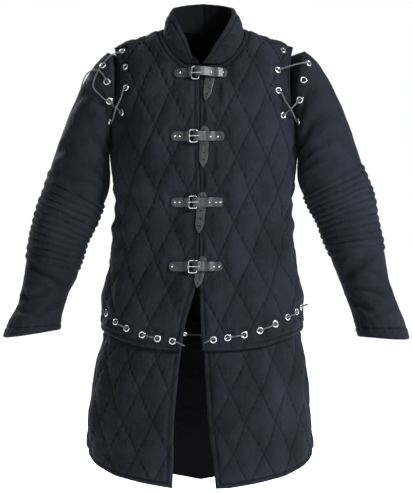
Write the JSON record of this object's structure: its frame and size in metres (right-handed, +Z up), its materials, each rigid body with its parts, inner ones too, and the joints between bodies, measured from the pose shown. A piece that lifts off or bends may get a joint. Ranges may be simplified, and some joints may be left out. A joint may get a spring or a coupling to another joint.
{
  "type": "gambeson",
  "caption": "Padded, diamond-quilted coat with a standing collar, laced-on sleeves and skirt, and a front closed by buckled leather straps.",
  "frame": {"origin": "middle of the neck opening at the height of the shoulders, where the wearer carries the coat", "axes": "+Z up, the coat's front towards -Y, the wearer's left towards +X"},
  "size_m": [0.8406, 0.3263, 1.0229],
  "materials": {
    "quilted_canvas": "matt black cotton canvas, wadded and diamond quilted",
    "strap_leather": "dark grey smooth strap leather",
    "nickel": "nickel-plated pressed metal, a little worn",
    "lace_cord": "dark grey round lacing cord"
  },
  "bodies": {
    "root": {"body_front_right": "quilted_canvas", "body_front_left": "quilted_canvas", "body_back": "quilted_canvas", "collar": "quilted_canvas", "sleeve_right": "quilted_canvas", "sleeve_left": "quilted_canvas", "skirt_front_right": "quilted_canvas", "skirt_front_left": "quilted_canvas", "skirt_back": "quilted_canvas", "strap_tab_1": "strap_leather", "strap_1": "strap_leather", "strap_tail_1": "strap_leather", "strap_tab_2": "strap_leather", "strap_2": "strap_leather", "strap_tail_2": "strap_leather", "strap_tab_3": "strap_leather", "strap_3": "strap_leather", "strap_tail_3": "strap_leather", "strap_tab_4": "strap_leather", "strap_4": "strap_leather", "strap_tail_4": "strap_leather", "buckle_1": "nickel", "buckle_2": "nickel", "buckle_3": "nickel", "buckle_4": "nickel", "eyelet_waist_right_2": "nickel", "eyelet_waist_right_3": "nickel", "eyelet_waist_right_4": "nickel", "eyelet_waist_right_5": "nickel", "eyelet_waist_right_6": "nickel", "eyelet_waist_left_1": "nickel", "eyelet_waist_left_2": "nickel", "eyelet_waist_left_3": "nickel", "eyelet_waist_left_4": "nickel", "eyelet_waist_left_5": "nickel", "eyelet_waist_left_6": "nickel", "eyelet_shoulder_right_1": "nickel", "eyelet_shoulder_right_2": "nickel", "eyelet_shoulder_right_3": "nickel", "eyelet_shoulder_right_4": "nickel", "eyelet_shoulder_left_1": "nickel", "eyelet_shoulder_left_2": "nickel", "eyelet_shoulder_left_3": "nickel", "eyelet_shoulder_left_4": "nickel", "eyelet_sleeve_right_1": "nickel", "eyelet_sleeve_right_2": "nickel", "eyelet_sleeve_right_3": "nickel", "eyelet_sleeve_right_4": "nickel", "eyelet_sleeve_left_1": "nickel", "eyelet_sleeve_left_2": "nickel", "eyelet_sleeve_left_3": "nickel", "eyelet_sleeve_left_4": "nickel", "lace_waist_right": "lace_cord", "lace_waist_left": "lace_cord", "lace_waist_back": "lace_cord", "lace_shoulder_right_1": "lace_cord", "lace_shoulder_right_2": "lace_cord", "lace_shoulder_left_1": "lace_cord", "lace_shoulder_left_2": "lace_cord", "lace_end_right": "lace_cord"}
  },
  "joints": []
}
